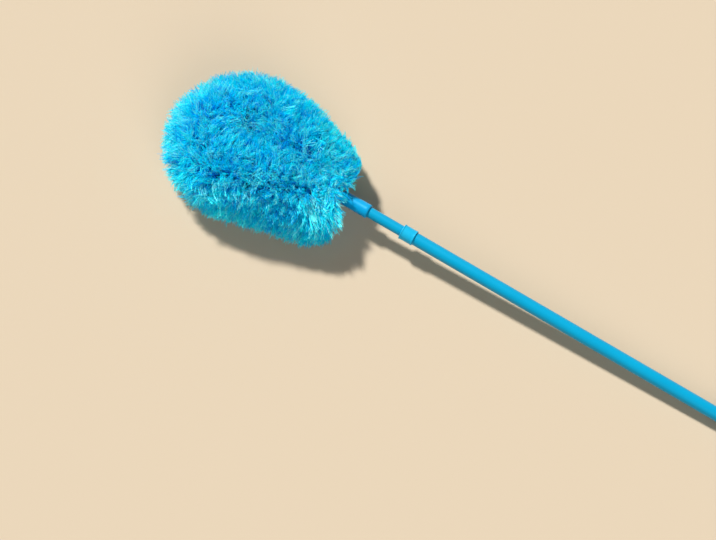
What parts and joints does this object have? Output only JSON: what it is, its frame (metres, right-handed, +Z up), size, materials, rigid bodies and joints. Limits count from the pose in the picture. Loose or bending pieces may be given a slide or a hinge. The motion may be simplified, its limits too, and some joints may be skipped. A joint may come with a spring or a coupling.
{
  "type": "telescopic duster",
  "caption": "Egg-shaped fluffy fibre duster on a bent wire loop, with a ferrule and a telescopic twist-lock pole that ends in a grip and a hanging tab.",
  "frame": {"origin": "middle of the base of the object's box, on the surface that the duster lies on", "axes": "+X along the length, from the grip towards the tip of the head; +Z up from the surface that the head and the grip rest on"},
  "size_m": [1.0346, 0.2236, 0.1133],
  "materials": {
    "tube_paint": "satin",
    "collar_plastic": "satin",
    "ferrule_plastic": "satin",
    "grip_plastic": "matte",
    "lock_plastic": "matte",
    "steel": "satin",
    "fibre": "matte"
  },
  "bodies": {
    "outer_pole": {"outer_tube": "tube_paint", "guide_collar": "collar_plastic", "hand_grip": "grip_plastic", "hanger_cap": "grip_plastic"},
    "lock_expander": {"expander_sleeve": "lock_plastic"},
    "lock_cone_nut": {"lock_cone": "lock_plastic"},
    "inner_pole": {"inner_tube": "tube_paint", "lock_spindle": "lock_plastic", "stop_nut": "steel", "ferrule": "ferrule_plastic", "ferrule_rivet": "steel", "core_plug": "ferrule_plastic", "core_wire_a": "steel", "core_wire_b": "steel", "fibre_bunch_01": "fibre", "fibre_bunch_02": "fibre", "fibre_bunch_03": "fibre", "fibre_bunch_04": "fibre", "fibre_bunch_05": "fibre", "fibre_bunch_06": "fibre", "fibre_bunch_07": "fibre", "fibre_bunch_08": "fibre", "fibre_bunch_09": "fibre", "fibre_bunch_10": "fibre", "fibre_bunch_11": "fibre", "fibre_bunch_12": "fibre"}
  },
  "joints": [
    {"name": "pole_extend", "type": "slide", "parent": "outer_pole", "child": "lock_expander", "axis": [0.9992, 0, 0.039], "range_m": [-0.0557, 0.35]},
    {"name": "pole_twist", "type": "hinge", "parent": "lock_expander", "child": "inner_pole", "pos_m": [0.18886, -0.00823, 0.0399], "axis": [0.9992, 0, 0.039], "range_deg": [0, 180]},
    {"name": "cone_travel", "type": "slide", "parent": "lock_expander", "child": "lock_cone_nut", "axis": [-0.9992, 0, -0.039], "range_m": [0, 0.001]}
  ],
  "couplings": [
    {"joint": "cone_travel", "follows": "pole_twist", "m_per_rad": 0.000318}
  ]
}
